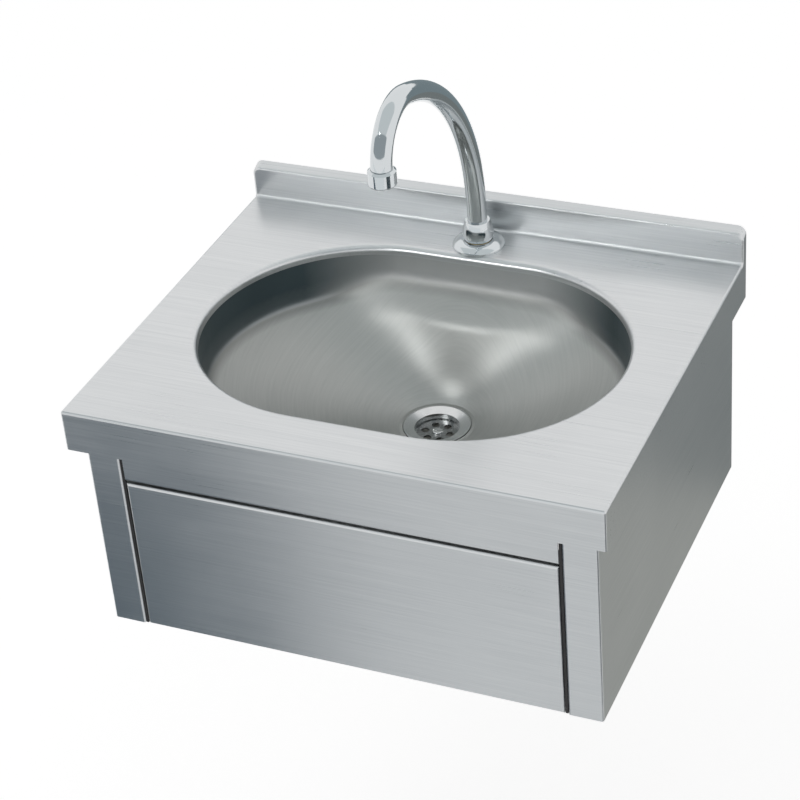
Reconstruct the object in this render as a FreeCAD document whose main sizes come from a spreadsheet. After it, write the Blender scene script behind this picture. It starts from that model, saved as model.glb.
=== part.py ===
import FreeCAD, Part
import math
import os
import Sketcher
from types import SimpleNamespace

# A wall-hung wash basin in stainless sheet. Its lower front panel swings in when a knee pushes it and
# opens a valve that feeds a swan-neck spout. The wall is the plane y = 0, the front faces -Y, and the
# origin is the middle of the wall fixing holes.

# Driving sizes, in millimetres; angles are in degrees, and counts and shares are plain numbers
SIZES = {
    # Sheet metal and clearances
    "sheet_gauge": 1.2,
    "bowl_gauge": 1.0,
    "bar_gauge": 1.5,
    "bend_radius": 2.4,
    "moving_gap": 0.3,
    "running_clearance": 0.06,
    "thread_clearance": 0.05,
    # Worktop
    "worktop_width": 500.0,
    "worktop_depth": 408.0,
    "deck_height": 130.0,
    "apron_height": 40.0,
    "apron_gap": 0.5,
    "upstand_depth": 10.0,
    "upstand_height": 32.0,
    "upstand_rise": 4.0,
    "upstand_corner": 8.0,
    "upstand_cove": 3.0,
    # Bowl
    "bowl_length": 398.0,
    "bowl_front_margin": 56.5,
    "bowl_rear_margin": 65.0,
    "bowl_depth": 128.0,
    "rim_roll": 6.0,
    "rim_depth": 9.0,
    "wall_depth": 44.0,
    "wall_draft": 1.5,
    "floor_bend": 16.0,
    "floor_sag": 2.0,
    "shelf_depth": 33.0,
    "shelf_width": 29.5,
    "shelf_fall": 24.5,
    "shelf_spread": 53.0,
    "shelf_blend": 14.0,
    "nose_share": 0.1,
    "nose_blend": 26.0,
    "floor_spread": 75.0,
    "floor_blend": 45.0,
    "drain_to_wall": 167.0,
    "sump_radius": 36.0,
    "sump_bend": 14.0,
    "sump_lift": 2.8,
    "rear_sump_run": 11.0,
    "rear_sump_rise": 8.0,
    "seat_radius": 32.6,
    "seat_recess": 4.0,
    # Cabinet
    "cabinet_inset_side": 12.0,
    "cabinet_inset_front": 13.0,
    "cabinet_height": 236.0,
    "stile_width": 32.0,
    "stile_lip": 15.0,
    "flange_width": 30.0,
    "top_flange": 20.0,
    "bottom_hem": 14.0,
    "wall_hole_diameter": 9.0,
    "wall_hole_rise": 140.0,
    "wall_hole_inset": 15.0,
    "rail_height": 73.5,
    "rail_return": 18.0,
    # Push panel
    "panel_gap": 3.0,
    "panel_return": 20.0,
    "hinge_drop": 12.0,
    "hinge_setback": 9.0,
    "hinge_pin_diameter": 6.0,
    "hinge_head_diameter": 10.0,
    "hinge_head_height": 2.8,
    "bush_wall": 1.5,
    "bush_flange_diameter": 12.0,
    "clip_diameter": 12.0,
    "clip_gauge": 1.2,
    "ear_width": 14.0,
    "ear_drop": 18.0,
    "ear_rise": 8.0,
    "buffer_diameter": 8.0,
    "buffer_pitch": 84.0,
    "buffer_rise": 24.0,
    # Striker on the back of the push panel
    "striker_depth": 11.0,
    "striker_width": 30.0,
    "striker_foot": 14.0,
    "striker_height": 36.0,
    "striker_bolt_diameter": 8.0,
    "striker_head_diameter": 16.0,
    "striker_dome": 1.4,
    "striker_nut_flats": 13.0,
    "striker_nut_height": 5.0,
    # Valve and its crossbar
    "crossbar_setback": 60.0,
    "crossbar_height": 64.0,
    "crossbar_depth": 18.0,
    "valve_rise": 56.0,
    "head_thread_diameter": 28.0,
    "head_reach": 10.0,
    "head_flange_diameter": 38.0,
    "head_flange_height": 4.0,
    "head_skirt": 14.0,
    "locknut_flats": 36.0,
    "locknut_height": 6.0,
    "valve_diameter": 38.0,
    "valve_length": 54.0,
    "valve_bore": 26.0,
    "valve_end_wall": 5.0,
    "port_setback": 38.0,
    "port_boss_diameter": 26.0,
    "inlet_thread_diameter": 20.955,
    "inlet_thread_length": 15.0,
    "inlet_drop": 46.0,
    "outlet_thread_diameter": 16.66,
    "outlet_thread_length": 11.0,
    "outlet_reach": 34.0,
    "stem_diameter": 12.0,
    "button_diameter": 24.0,
    "button_height": 6.0,
    "stem_showing": 20.0,
    "piston_diameter": 18.0,
    "piston_length": 8.0,
    "seal_width": 4.0,
    "spring_wire": 1.6,
    "spring_diameter": 17.0,
    "spring_turns": 5,
    # Supply pipe
    "pipe_diameter": 12.0,
    "pipe_wall": 1.0,
    "pipe_offset": 78.0,
    "pipe_bend": 30.0,
    "pipe_insert": 8.0,
    "outlet_nut_flats": 22.0,
    "tail_nut_flats": 27.0,
    "tail_nut_length": 18.0,
    "nut_cap": 3.0,
    # Tap base
    "tap_to_wall": 39.0,
    "tap_hole_diameter": 22.0,
    "gasket_height": 1.2,
    "rosette_diameter": 50.0,
    "rosette_edge": 2.2,
    "rosette_height": 7.0,
    "rosette_crown": 31.0,
    "rosette_skirt": 2.0,
    "shank_thread_diameter": 20.955,
    "shank_drop": 48.0,
    "shank_flange_diameter": 25.0,
    "shank_flange_height": 3.0,
    "shank_neck_diameter": 22.0,
    "shank_neck_height": 10.0,
    "waterway_diameter": 11.0,
    "shank_seal_height": 2.0,
    "shank_washer_height": 1.5,
    "shank_washer_diameter": 38.0,
    "backnut_flats": 27.0,
    "backnut_height": 8.0,
    "swivel_base_diameter": 30.0,
    "swivel_waist_diameter": 27.0,
    "swivel_top_diameter": 23.4,
    "swivel_height": 20.0,
    "swivel_lift": 0.6,
    "swivel_bulge": 3.4,
    # Spout
    "tube_diameter": 19.0,
    "tube_wall": 1.5,
    "riser_height": 40.0,
    "lower_arc_radius": 195.0,
    "lower_arc_angle": 75.0,
    "upper_arc_radius": 45.0,
    "tube_drop": 6.0,
    "collar_diameter": 21.4,
    "collar_height": 1.7,
    "slip_ring_height": 1.2,
    "spigot_diameter": 16.0,
    "spigot_length": 17.0,
    "ring_section": 1.3,
    "ring_groove_width": 1.5,
    "ring_groove_depth": 1.3,
    "ring_pitch": 6.0,
    "ring_inset": 4.0,
    "aerator_diameter": 25.0,
    "aerator_height": 15.0,
    "aerator_overlap": 8.0,
    "aerator_shoulder": 2.0,
    "aerator_lip": 1.0,
    "aerator_washer_height": 1.2,
    "aerator_wall": 2.2,
    "aerator_round": 1.6,
    "screen_hole_diameter": 2.2,
    "screen_holes": 8,
    "screen_pitch_diameter": 11.0,
    # Waste
    "waste_flange_diameter": 64.0,
    "waste_flange_edge": 3.5,
    "waste_flange_lip": 1.5,
    "waste_throat_diameter": 43.0,
    "waste_throat_wall": 1.4,
    "waste_throat_drop": 2.6,
    "waste_throat_length": 8.0,
    "waste_ledge": 5.0,
    "waste_seal_height": 1.0,
    "lower_seal_height": 3.0,
    "grid_gap": 1.4,
    "grid_gauge": 1.6,
    "grid_hole_diameter": 7.6,
    "grid_hole_count": 6,
    "grid_pitch_diameter": 25.0,
    "waste_screw_diameter": 6.0,
    "waste_screw_head": 10.0,
    "waste_screw_head_height": 2.2,
    "waste_screw_length": 28.0,
    "waste_screw_slot": 1.4,
    "waste_body_diameter": 64.0,
    "waste_body_flange": 4.0,
    "waste_cup_depth": 9.0,
    "waste_cup_wall": 3.2,
    "waste_cone_drop": 13.0,
    "waste_tail_diameter": 41.91,
    "waste_tail_wall": 3.2,
    "waste_tail_length": 42.0,
    "bridge_width": 7.0,
    "bridge_height": 9.0,
    "bridge_boss_diameter": 13.0,
}

# Plan directions in which the bowl's profile is drawn
BOWL_DIRECTIONS = 48

doc = FreeCAD.newDocument("wash_basin")
sheet = doc.addObject("Spreadsheet::Sheet", "Sizes")
for row, (alias, number) in enumerate(SIZES.items(), start=1):
    sheet.set(f"A{row}", alias)
    sheet.set(f"B{row}", str(number))
    sheet.setAlias(f"B{row}", alias)
doc.recompute()


class Size:
    """A value together with the sheet expression that gives it."""

    def __init__(self, value, text):
        self.value = value
        self.text = text

    def __add__(self, other):
        other = as_size(other)
        return Size(self.value + other.value, f"({self.text} + {other.text})")

    def __sub__(self, other):
        other = as_size(other)
        return Size(self.value - other.value, f"({self.text} - {other.text})")

    def __mul__(self, other):
        other = as_size(other)
        return Size(self.value * other.value, f"({self.text} * {other.text})")

    def __truediv__(self, other):
        other = as_size(other)
        return Size(self.value / other.value, f"({self.text} / {other.text})")

    def __rsub__(self, other):
        return as_size(other) - self

    def __neg__(self):
        return Size(-self.value, f"(-1 * {self.text})")

    __radd__ = __add__
    __rmul__ = __mul__


def as_size(value):
    """Takes a plain number as a size of its own."""
    return value if isinstance(value, Size) else Size(float(value), repr(float(value)))


def sine(angle):
    return Size(math.sin(math.radians(angle.value)), f"sin({angle.text} * 1 deg)")


def cosine(angle):
    return Size(math.cos(math.radians(angle.value)), f"cos({angle.text} * 1 deg)")


d = SimpleNamespace(**{alias: Size(sheet.get(alias), f"Sizes.{alias}") for alias in SIZES})

# Places that several pieces share
half_width = d.worktop_width / 2
cabinet_half = half_width - d.cabinet_inset_side
cabinet_front = d.worktop_depth - d.cabinet_inset_front
stile_inner = cabinet_half - d.stile_width
panel_half = stile_inner - d.panel_gap
panel_top = d.rail_height + d.panel_gap
bowl_width = d.worktop_depth - d.bowl_front_margin - d.bowl_rear_margin
bowl_centre = d.bowl_rear_margin + bowl_width / 2
hinge_height = d.deck_height - panel_top - d.hinge_drop
hinge_depth = cabinet_front - d.hinge_setback
valve_height = d.deck_height - d.cabinet_height + d.valve_rise
valve_depth = cabinet_front - d.crossbar_setback
tube_radius = d.tube_diameter / 2
tube_bore = tube_radius - d.tube_wall
spout_reach = (d.lower_arc_radius * (1 - cosine(d.lower_arc_angle))
               + d.upper_arc_radius * (1 + cosine(d.lower_arc_angle)))
arc_end = d.riser_height + (d.lower_arc_radius - d.upper_arc_radius) * sine(d.lower_arc_angle)
tube_end = arc_end - d.tube_drop
seat_height = d.deck_height - d.bowl_depth

DECK = (0, 0, d.deck_height)
CABINET = (0, -cabinet_front, d.deck_height)
HINGE = (0, -hinge_depth, hinge_height)
VALVE = (0, -valve_depth, valve_height)
TAP = (0, -d.tap_to_wall, d.deck_height)
OUTLET = (0, -(d.tap_to_wall + spout_reach), d.deck_height + tube_end)
WASTE = (0, -d.drain_to_wall, seat_height)

subparts = []


# Drawing helpers


def set_place(obj, place):
    """Binds an object's position to sizes."""
    for axis, value in zip("xyz", place):
        if isinstance(value, Size):
            obj.setExpression(f"Placement.Base.{axis}", value.text)


def new_body(name, place, keep=True):
    body = doc.addObject("PartDesign::Body", name)
    body.Label = name
    set_place(body, place)
    if keep:
        subparts.append(body)
    return body


def new_sketch(body, plane, offset=None):
    """A sketch on one of the body's own origin planes, moved along the plane's normal by offset."""
    sketch = body.newObject("Sketcher::SketchObject", f"{body.Name}_sketch")
    support = next(item for item in body.Origin.OriginFeatures if item.Role == f"{plane}_Plane")
    sketch.AttachmentSupport = [(support, "")]
    sketch.MapMode = "FlatFace"
    if offset is not None:
        sketch.setExpression("AttachmentOffset.Base.z", as_size(offset).text)
    return sketch


def fix_point(sketch, geometry, position, across, up):
    """Ties one point of a sketch to sizes measured from the sketch's origin."""
    for kind, value in (("DistanceX", as_size(across)), ("DistanceY", as_size(up))):
        index = sketch.addConstraint(Sketcher.Constraint(kind, -1, 1, geometry, position, value.value))
        sketch.setExpression(f"Constraints[{index}]", value.text)


def fix_radius(sketch, geometry, radius):
    index = sketch.addConstraint(Sketcher.Constraint("Radius", geometry, radius.value))
    sketch.setExpression(f"Constraints[{index}]", radius.text)


def vector(point):
    return FreeCAD.Vector(as_size(point[0]).value, as_size(point[1]).value, 0)


def arc_between(start, end, radius):
    """The short arc from start to end; a positive radius turns left, a negative one right."""
    chord = end - start
    left = FreeCAD.Vector(-chord.y, chord.x, 0).normalize()
    rise = math.sqrt(max(radius ** 2 - chord.Length ** 2 / 4, 0))
    centre = (start + end) / 2 + left * math.copysign(rise, radius)
    first, last = (start, end) if radius > 0 else (end, start)
    angles = [math.atan2(p.y - centre.y, p.x - centre.x) for p in (first, last)]
    circle = Part.Circle(centre, FreeCAD.Vector(0, 0, 1), abs(radius))
    return Part.ArcOfCircle(circle, *angles)


def draw_path(sketch, points, closed):
    """Lines through the points; a third entry is the radius of the arc that leads to that point."""
    pairs = list(zip(points, points[1:] + points[:1]))
    if not closed:
        pairs = pairs[:-1]
    ends = []
    for start, end in pairs:
        if len(end) == 3:
            radius = as_size(end[2])
            index = sketch.addGeometry(arc_between(vector(start), vector(end), radius.value), False)
            fix_radius(sketch, index, radius if radius.value > 0 else -radius)
            ends.append((index, 1, 2) if radius.value > 0 else (index, 2, 1))
        else:
            index = sketch.addGeometry(Part.LineSegment(vector(start), vector(end)), False)
            ends.append((index, 1, 2))
    for (index, first, _), (start, _) in zip(ends, pairs):
        fix_point(sketch, index, first, start[0], start[1])
    if not closed:
        index, _, last = ends[-1]
        fix_point(sketch, index, last, points[-1][0], points[-1][1])
    joins = zip(ends, ends[1:] + ends[:1]) if closed else zip(ends, ends[1:])
    for (before, _, last), (after, first, _) in joins:
        sketch.addConstraint(Sketcher.Constraint("Coincident", before, last, after, first))


def draw_loop(sketch, points):
    draw_path(sketch, points, closed=True)


def draw_circle(sketch, across, up, radius):
    centre = vector((across, up))
    circle = Part.Circle(centre, FreeCAD.Vector(0, 0, 1), radius.value)
    index = sketch.addGeometry(circle, False)
    fix_point(sketch, index, 3, across, up)
    fix_radius(sketch, index, radius)


def rectangle(left, bottom, right, top):
    return [(left, bottom), (right, bottom), (right, top), (left, top)]


def stadium(half_length, radius, centre_up):
    """An oblong with round ends, lying along the sketch's horizontal axis."""
    straight = half_length - radius
    return [
        (straight, centre_up - radius),
        (half_length, centre_up, radius),
        (straight, centre_up + radius, radius),
        (-straight, centre_up + radius),
        (-half_length, centre_up, radius),
        (-straight, centre_up - radius, radius),
    ]


def hexagon(flats):
    corner = flats / math.sqrt(3)
    turns = [math.radians(30 + 60 * step) for step in range(6)]
    return [(corner * math.cos(turn), corner * math.sin(turn)) for turn in turns]


def mirrored(points):
    """The same closed outline on the other side of the sketch's vertical axis."""
    return [(-as_size(across), up) for across, up in reversed(points)]


# Feature helpers


def extrude(body, kind, sketch, length, reverse=False, symmetric=False):
    feature = body.newObject(f"PartDesign::{kind}", f"{body.Name}_{kind.lower()}")
    feature.Profile = sketch
    feature.setExpression("Length", as_size(length).text)
    feature.Reversed = reverse
    if symmetric:
        feature.SideType = "Symmetric"
    sketch.Visibility = False
    return feature


def pad(body, sketch, length, reverse=False, symmetric=False):
    return extrude(body, "Pad", sketch, length, reverse, symmetric)


def cut(body, sketch, length, reverse=False, symmetric=False):
    """A pocket that has to take material away."""
    doc.recompute()
    before = body.Shape.Volume
    feature = extrude(body, "Pocket", sketch, length, reverse, symmetric)
    doc.recompute()
    if body.Shape.Volume > before - 1e-6:
        raise RuntimeError(f"a pocket in {body.Label} cuts nothing")
    return feature


def turned(name, place, axis, profile, keep=True):
    """A body turned about one of its own axes from an outline of (radius, distance along) points."""
    body = new_body(name, place, keep)
    sketch = new_sketch(body, "XZ" if axis == "Z" else "XY")
    if axis == "X":
        swapped = []
        for point in profile:
            arc = tuple(-as_size(radius) for radius in point[2:])
            swapped.append((point[1], point[0]) + arc)
        profile = swapped
    draw_loop(sketch, profile)
    feature = body.newObject("PartDesign::Revolution", f"{name}_turn")
    feature.Profile = sketch
    feature.ReferenceAxis = (sketch, ["H_Axis" if axis == "X" else "V_Axis"])
    feature.Angle = 360
    return body


def ring(name, place, axis, inner, outer, start, end, keep=True):
    return turned(name, place, axis, rectangle(inner, start, outer, end), keep)


def edges_inside(body, low, high):
    """Names of the tip's edges that lie wholly inside a box of the body's own frame."""
    doc.recompute()
    slack = 0.01
    low = [as_size(value).value - slack for value in low]
    high = [as_size(value).value + slack for value in high]
    names = []
    for index, edge in enumerate(body.Tip.Shape.Edges, start=1):
        box = edge.BoundBox
        above = box.XMin > low[0] and box.YMin > low[1] and box.ZMin > low[2]
        below = box.XMax < high[0] and box.YMax < high[1] and box.ZMax < high[2]
        if above and below:
            names.append(f"Edge{index}")
    return names


def fillet(body, radius, *boxes):
    names = sorted({name for low, high in boxes for name in edges_inside(body, low, high)})
    if not names:
        raise RuntimeError(f"no edge to round on {body.Label}")
    base = body.Tip
    feature = body.newObject("PartDesign::Fillet", f"{body.Name}_fillet")
    feature.Base = (base, names)
    feature.setExpression("Radius", as_size(radius).text)
    doc.recompute()
    return feature


def group(name, objects):
    """Several like solids that make one sub-part."""
    compound = doc.addObject("Part::Compound", name)
    compound.Label = name
    compound.Links = objects
    subparts.append(compound)
    return compound


def mirror_image(name, source, keep=True):
    image = doc.addObject("Part::Mirroring", name)
    image.Label = name
    image.Source = source
    image.Normal = (1, 0, 0)
    image.Base = (0, 0, 0)
    if keep:
        subparts.append(image)
    return image


def hex_nut(name, place, plane, flats, bore_radius, start, height):
    """A nut standing on a plane of its frame, from start along the plane's normal."""
    body = new_body(name, place)
    sketch = new_sketch(body, plane, start)
    draw_loop(sketch, hexagon(flats))
    draw_circle(sketch, 0, 0, bore_radius)
    pad(body, sketch, height)
    return body


# Worktop: deck with folded aprons, rear upstand and the rolled rim of the bowl


def make_worktop():
    body = new_body("worktop", DECK)
    gauge = d.sheet_gauge
    front_return = d.cabinet_inset_front - d.apron_gap
    side_return = d.cabinet_inset_side - d.apron_gap

    profile = new_sketch(body, "YZ")
    draw_loop(profile, [
        (-d.worktop_depth + front_return, -d.apron_height),
        (-d.worktop_depth, -d.apron_height),
        (-d.worktop_depth, 0),
        (-d.upstand_depth + gauge, 0),
        (-d.upstand_depth + gauge, -gauge),
        (-d.worktop_depth + gauge, -gauge),
        (-d.worktop_depth + gauge, -d.apron_height + gauge),
        (-d.worktop_depth + front_return, -d.apron_height + gauge),
    ])
    pad(body, profile, d.worktop_width, symmetric=True)

    side_apron = [
        (half_width, 0),
        (half_width - gauge, 0),
        (half_width - gauge, -d.apron_height + gauge),
        (half_width - side_return, -d.apron_height + gauge),
        (half_width - side_return, -d.apron_height),
        (half_width, -d.apron_height),
    ]
    sides = new_sketch(body, "XZ")
    draw_loop(sides, side_apron)
    draw_loop(sides, mirrored(side_apron))
    pad(body, sides, d.worktop_depth)

    add_upstand(body)
    add_bowl_rim(body)

    hole = new_sketch(body, "XY")
    draw_circle(hole, 0, -d.tap_to_wall, d.tap_hole_diameter / 2)
    cut(body, hole, gauge * 2)

    # Bends of the folded edges
    front = -d.worktop_depth
    fillet(
        body, d.bend_radius,
        ((-half_width, front, 0), (half_width, front, 0)),
        ((-half_width, front, 0), (-half_width, -d.upstand_depth, 0)),
        ((half_width, front, 0), (half_width, -d.upstand_depth, 0)),
        ((-half_width, front, -d.apron_height), (-half_width, front, 0)),
        ((half_width, front, -d.apron_height), (half_width, front, 0)),
    )
    return body


def upstand_outline(inset, height):
    """Front view of the upstand, with its upper corners rounded."""
    side = half_width - inset
    top = height - inset
    corner = d.upstand_corner - inset
    return [
        (-side, -d.sheet_gauge),
        (side, -d.sheet_gauge),
        (side, top - corner),
        (side - corner, top, corner),
        (-side + corner, top),
        (-side, top - corner, corner),
    ]


def add_upstand(body):
    """The upstand leans its top edge up towards the wall and is open at the back."""
    slope = d.upstand_rise / d.upstand_depth
    skins = (
        ("AdditiveLoft", 0, d.upstand_depth, d.upstand_height),
        ("SubtractiveLoft", d.sheet_gauge, d.upstand_depth - d.sheet_gauge,
         d.upstand_height + slope * d.sheet_gauge),
    )
    back_height = d.upstand_height + d.upstand_rise
    for kind, inset, depth, front_height in skins:
        face = new_sketch(body, "XZ", depth)
        draw_loop(face, upstand_outline(inset, front_height))
        rear = new_sketch(body, "XZ")
        draw_loop(rear, upstand_outline(inset, back_height))
        skin = body.newObject(f"PartDesign::{kind}", f"upstand_{kind.lower()}")
        skin.Profile = face
        skin.Sections = [rear]
        skin.Ruled = True
    cove = ((-half_width, -d.upstand_depth, 0), (half_width, -d.upstand_depth, 0))
    fillet(body, d.upstand_cove, cove)


def add_bowl_rim(body):
    """The deck sheet rolled down round the bowl opening, to which the bowl is welded."""
    gauge = d.sheet_gauge
    half_length = d.bowl_length / 2
    radius = bowl_width / 2
    opening = new_sketch(body, "XY")
    draw_loop(opening, stadium(half_length, radius, -bowl_centre))
    cut(body, opening, gauge * 2)

    collar = new_sketch(body, "XY", -d.rim_depth)
    draw_loop(collar, stadium(half_length, radius, -bowl_centre))
    draw_loop(collar, stadium(half_length + gauge, radius + gauge, -bowl_centre))
    pad(body, collar, d.rim_depth - gauge)

    reach = half_length + gauge
    spread = radius + gauge
    under = ((-reach, -bowl_centre - spread, -gauge), (reach, -bowl_centre + spread, -gauge))
    fillet(body, d.rim_roll - gauge, under)
    over = ((-half_length, -bowl_centre - radius, 0), (half_length, -bowl_centre + radius, 0))
    fillet(body, d.rim_roll, over)


# Bowl: one pressed skin whose floor falls to the sump, with a raised shelf at the rear


def wall_reach(turn):
    """Distance from the drain axis to the bowl wall in a plan direction."""
    radius = bowl_width.value / 2
    straight = d.bowl_length.value / 2 - radius
    centre = d.drain_to_wall.value - bowl_centre.value
    across, up = math.cos(turn), math.sin(turn)
    flat = (centre + math.copysign(radius, up)) / up if abs(up) > 1e-9 else math.inf
    if abs(flat * across) <= straight:
        return flat
    end = math.copysign(straight, across)
    along = across * end + up * centre
    return along + math.sqrt(along ** 2 - end ** 2 - centre ** 2 + radius ** 2)


def shelf_share(turn, spread, blend):
    """1 on the rear shelf, 0 clear of it, with a smooth change over twice the blend between."""
    off_rear = abs(math.remainder(turn - math.pi / 2, 2 * math.pi))
    ramp = min(max((spread + blend - off_rear) / (2 * blend), 0), 1)
    return ramp * ramp * (3 - 2 * ramp)


def between(first, last, share):
    """The point that lies a share of the way from first to last."""
    return tuple(a + (b - a) * share for a, b in zip(first, last))


def bowl_profile(turn):
    """Control points of the inner skin in one plan direction, as (reach, height), from rim to sump."""
    wall = wall_reach(turn)
    foot_reach = wall - d.wall_draft.value
    bend = d.floor_bend.value
    sag = d.floor_sag.value
    foot_height = -d.wall_depth.value
    ledge_height = -d.shelf_depth.value
    rim = (wall, -d.rim_depth.value)
    sump = (d.sump_radius.value, d.seat_recess.value - d.bowl_depth.value)

    # Plain wall, bend and floor
    foot = (foot_reach, foot_height)
    start = (foot_reach - bend, foot_height - bend)
    flat = (sump[0] + d.sump_bend.value, sump[1] + d.sump_lift.value)
    upper = between(start, flat, 1 / 3)
    lower = between(start, flat, 2 / 3)
    plain = [
        rim,
        between(rim, foot, 1 / 2),
        foot,
        (foot_reach, foot_height - bend / 2),
        start,
        (upper[0], upper[1] - sag),
        (lower[0], lower[1] - sag),
        flat,
        sump,
    ]

    # Shelf with a rounded nose above the steep rear of the floor
    nose = d.nose_share.value
    ledge = (foot_reach, ledge_height)
    edge = (foot_reach - d.shelf_width.value, ledge_height - d.shelf_fall.value)
    rear_sump = (sump[0] + d.rear_sump_run.value, sump[1] + d.rear_sump_rise.value)
    shelf = [
        rim,
        between(rim, ledge, 1 / 2),
        ledge,
        between(ledge, edge, 1 / 2),
        edge,
        between(edge, rear_sump, nose),
        between(edge, rear_sump, (1 + nose) / 2),
        rear_sump,
        sump,
    ]

    # The shelf ends sharply where it leaves the wall and fades into the floor below its nose
    ends = [(d.shelf_spread.value, d.shelf_blend.value)] * 5
    ends += [(d.shelf_spread.value, d.nose_blend.value)]
    ends += [(d.floor_spread.value, d.floor_blend.value)] * 3
    return [
        between(low, high, shelf_share(turn, math.radians(spread), math.radians(blend)))
        for low, high, (spread, blend) in zip(plain, shelf, ends)
    ]


def thickened(profile, slant):
    """The control points of the outer skin, one gauge away along the normals of a profile."""
    gauge = d.bowl_gauge.value
    outer = [(profile[0][0] + gauge * slant, profile[0][1])]
    for before, here, after in zip(profile, profile[1:], profile[2:]):
        run = before[0] - after[0]
        fall = before[1] - after[1]
        length = math.hypot(run, fall)
        outer.append((here[0] + gauge * slant * fall / length, here[1] - gauge * run / length))
    outer.append((profile[-1][0] + gauge / 2, profile[-1][1] - gauge))
    return outer


def bowl_skin(profiles, turns):
    """The solid inside a smooth skin whose net of control points the profiles give."""
    count = len(turns)
    steps = [step / count for step in range(count + 1)]
    rows = []
    for section in zip(*profiles):
        points = []
        for turn, (reach, height) in zip(turns, section):
            points.append(FreeCAD.Vector(reach * math.cos(turn), reach * math.sin(turn), height))
        curve = Part.BSplineCurve()
        curve.interpolate(Points=points, PeriodicFlag=True, Parameters=steps)
        rows.append(curve.getPoles())
    degree = 3
    spans = len(rows) - degree
    down_knots = list(range(spans + 1))
    down_mults = [degree + 1] + [1] * (spans - 1) + [degree + 1]
    surface = Part.BSplineSurface()
    surface.buildFromPolesMultsKnots(
        [list(column) for column in zip(*rows)],
        curve.getMultiplicities(), down_mults, curve.getKnots(), down_knots,
        True, False, curve.Degree, degree,
    )
    side = surface.toShape()
    rims = [edge for edge in side.Edges if edge.BoundBox.ZLength < d.bowl_gauge.value / 2]
    shell = Part.makeShell([side] + [Part.Face(Part.Wire(edge)) for edge in rims])
    shell.sewShape()
    return Part.makeSolid(shell)


def make_bowl():
    turns = [2 * math.pi * step / BOWL_DIRECTIONS for step in range(BOWL_DIRECTIONS)]
    inner = [bowl_profile(turn) for turn in turns]
    small = 1e-4
    outer = []
    for turn, profile in zip(turns, inner):
        rate = (wall_reach(turn + small) - wall_reach(turn - small)) / (2 * small)
        outer.append(thickened(profile, math.hypot(1, rate / wall_reach(turn))))

    gauge = d.bowl_gauge.value
    depth = d.bowl_depth.value
    recess_depth = d.seat_recess.value
    seat_radius = d.seat_radius.value
    throat = d.waste_throat_diameter.value / 2 + d.waste_throat_wall.value + d.moving_gap.value
    cup = Part.makeCylinder(seat_radius + gauge, recess_depth, FreeCAD.Vector(0, 0, -depth - gauge))
    recess = Part.makeCylinder(seat_radius, recess_depth, FreeCAD.Vector(0, 0, -depth))
    hole = Part.makeCylinder(throat, depth, FreeCAD.Vector(0, 0, recess_depth - 2 * depth))
    solid = bowl_skin(outer, turns).fuse(cup)
    hollow = bowl_skin(inner, turns)

    bowl = doc.addObject("Part::Feature", "bowl")
    bowl.Label = "bowl"
    bowl.Shape = solid.cut([hollow, recess, hole]).removeSplitter()
    bowl.Placement.Base = FreeCAD.Vector(0, -d.drain_to_wall.value, d.deck_height.value)
    subparts.append(bowl)
    return bowl


# Cabinet: two folded side panels and the fixed rail above the push panel


def make_side_panels():
    body = new_body("right_side_panel", DECK)
    gauge = d.sheet_gauge
    front = -cabinet_front
    section = new_sketch(body, "XY", -d.cabinet_height)
    draw_loop(section, [
        (cabinet_half, front),
        (cabinet_half, 0),
        (cabinet_half - d.flange_width, 0),
        (cabinet_half - d.flange_width, -gauge),
        (cabinet_half - gauge, -gauge),
        (cabinet_half - gauge, front + gauge),
        (stile_inner + gauge, front + gauge),
        (stile_inner + gauge, front + d.stile_lip),
        (stile_inner, front + d.stile_lip),
        (stile_inner, front),
    ])
    pad(body, section, d.cabinet_height - gauge)

    bottom = -d.cabinet_height
    flanges = new_sketch(body, "XZ", gauge)
    draw_loop(flanges, rectangle(cabinet_half - d.top_flange, -gauge * 2, cabinet_half - gauge, -gauge))
    draw_loop(flanges, rectangle(cabinet_half - d.bottom_hem, bottom, cabinet_half - gauge, bottom + gauge))
    pad(body, flanges, cabinet_front - gauge * 2)

    pivot = new_sketch(body, "YZ", stile_inner)
    draw_circle(pivot, -hinge_depth, hinge_height - d.deck_height,
                d.hinge_pin_diameter / 2 + d.thread_clearance)
    cut(body, pivot, gauge * 2, symmetric=True)

    holes = new_sketch(body, "XZ")
    for level in (d.wall_hole_rise / 2, -d.wall_hole_rise / 2):
        draw_circle(holes, cabinet_half - d.wall_hole_inset, level - d.deck_height, d.wall_hole_diameter / 2)
    cut(body, holes, gauge * 2, symmetric=True)

    fillet(
        body, d.bend_radius,
        ((cabinet_half, front, bottom), (cabinet_half, front, 0)),
        ((stile_inner, front, bottom), (stile_inner, front, 0)),
        ((cabinet_half, 0, bottom), (cabinet_half, 0, 0)),
    )
    mirror_image("left_side_panel", body)


def make_front_rail():
    body = new_body("front_rail", CABINET)
    gauge = d.sheet_gauge
    bottom = -d.rail_height
    section = new_sketch(body, "YZ")
    draw_loop(section, [
        (0, bottom),
        (0, -gauge),
        (d.rail_return, -gauge),
        (d.rail_return, -gauge * 2),
        (gauge, -gauge * 2),
        (gauge, bottom + gauge),
        (d.rail_return, bottom + gauge),
        (d.rail_return, bottom),
    ])
    pad(body, section, panel_half * 2, symmetric=True)
    fillet(body, d.bend_radius, ((-panel_half, 0, bottom), (panel_half, 0, bottom)))


# Push panel: a shallow pan hung on two pins, with ears that stop it behind the stiles


def pan(name, place, left, bottom, right, top, depth, gauge):
    """A folded tray, open towards the wall."""
    body = new_body(name, place)
    outline = new_sketch(body, "XZ")
    draw_loop(outline, rectangle(left, bottom, right, top))
    pad(body, outline, depth, reverse=True)
    hollow = new_sketch(body, "XZ", -gauge)
    draw_loop(hollow, rectangle(left + gauge, bottom + gauge, right - gauge, top - gauge))
    cut(body, hollow, depth)
    return body


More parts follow.
